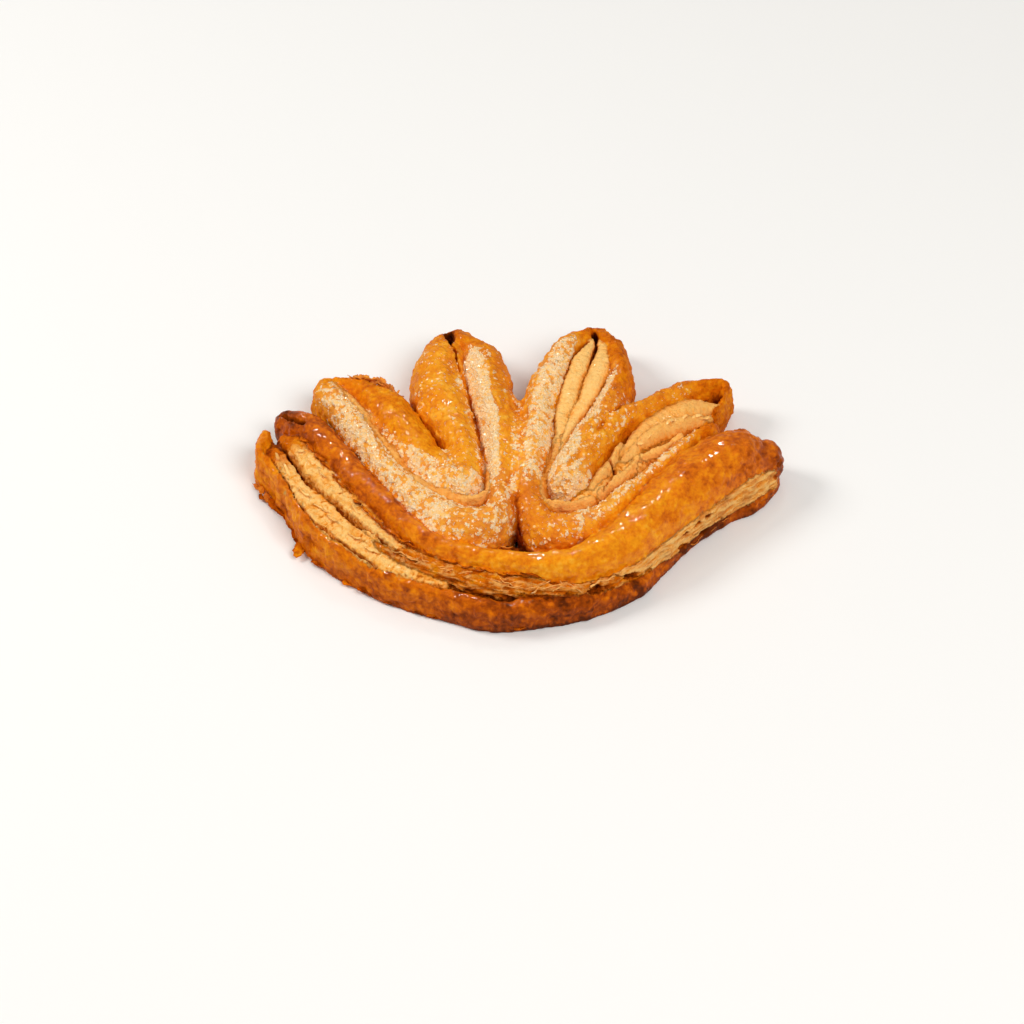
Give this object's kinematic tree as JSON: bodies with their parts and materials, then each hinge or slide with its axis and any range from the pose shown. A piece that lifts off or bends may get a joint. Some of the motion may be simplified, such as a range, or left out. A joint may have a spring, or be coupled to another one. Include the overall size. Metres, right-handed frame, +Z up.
{
  "type": "palmier pastry",
  "caption": "Fan-shaped puff pastry: folded leaves spread from a hub, with a split band round the front, baked golden and sugared. Lies flat.",
  "frame": {"origin": "centre of the pastry's bounding box, on the table top", "axes": "+X along the fan's width, +Y from the front band towards the petal tips, +Z up"},
  "size_m": [0.14, 0.103, 0.0187],
  "materials": {
    "golden_crust": "baked puff pastry, glossy sugar glaze on a golden to caramel crust, paler flaky layers in the splits"
  },
  "bodies": {
    "root": {"pastry": "golden_crust"}
  },
  "joints": []
}
